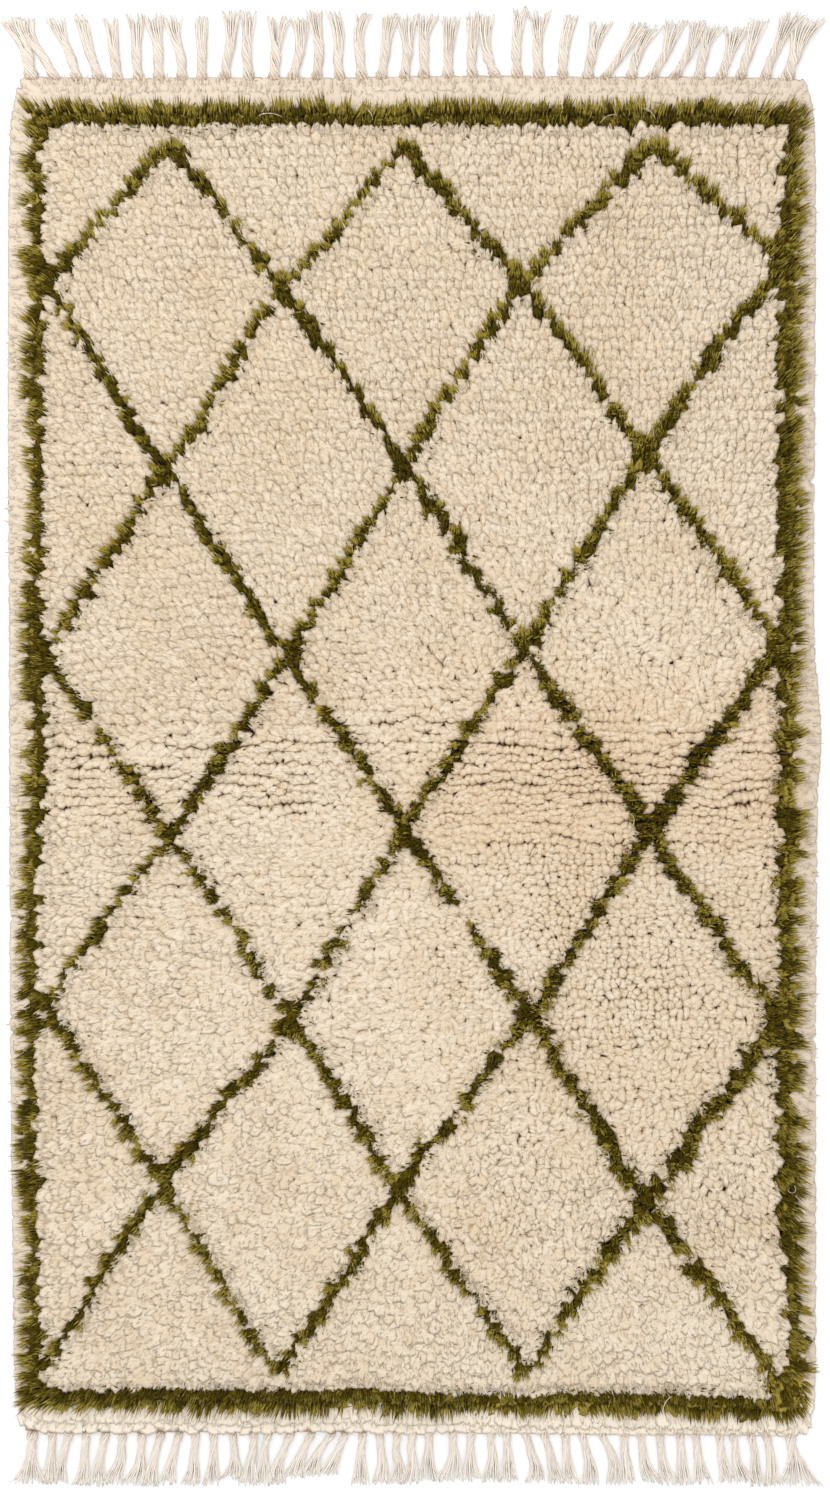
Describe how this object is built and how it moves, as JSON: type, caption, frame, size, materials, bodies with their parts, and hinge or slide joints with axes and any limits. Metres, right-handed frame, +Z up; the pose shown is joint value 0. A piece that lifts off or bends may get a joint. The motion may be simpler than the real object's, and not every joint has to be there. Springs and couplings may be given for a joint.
{
  "type": "beni ourain rug",
  "caption": "Small hand-knotted shaggy wool rug lying flat, cream pile with an olive diamond trellis and border, tassel fringe at both ends.",
  "frame": {"origin": "on the floor under the middle of the rug's whole outline, fringes included", "axes": "+Z up, +Y along the rug towards the end with the long knotted tassels, +X across it to the right seen from above"},
  "size_m": [0.9175, 1.6694, 0.024],
  "materials": {
    "cream_pile": "long soft undyed wool pile, matt with a slight sheen on the tips",
    "olive_pile": "olive green dyed wool pile, shaggy, lighter yellow-green at the tips",
    "fringe_yarn": "off-white twisted warp yarn, matt",
    "woven_back": "woven ground cloth with rows of knots showing on its underside, matt"
  },
  "bodies": {
    "root": {"rug": "cream_pile", "fringe_top": "fringe_yarn", "fringe_bottom": "fringe_yarn"}
  },
  "joints": []
}
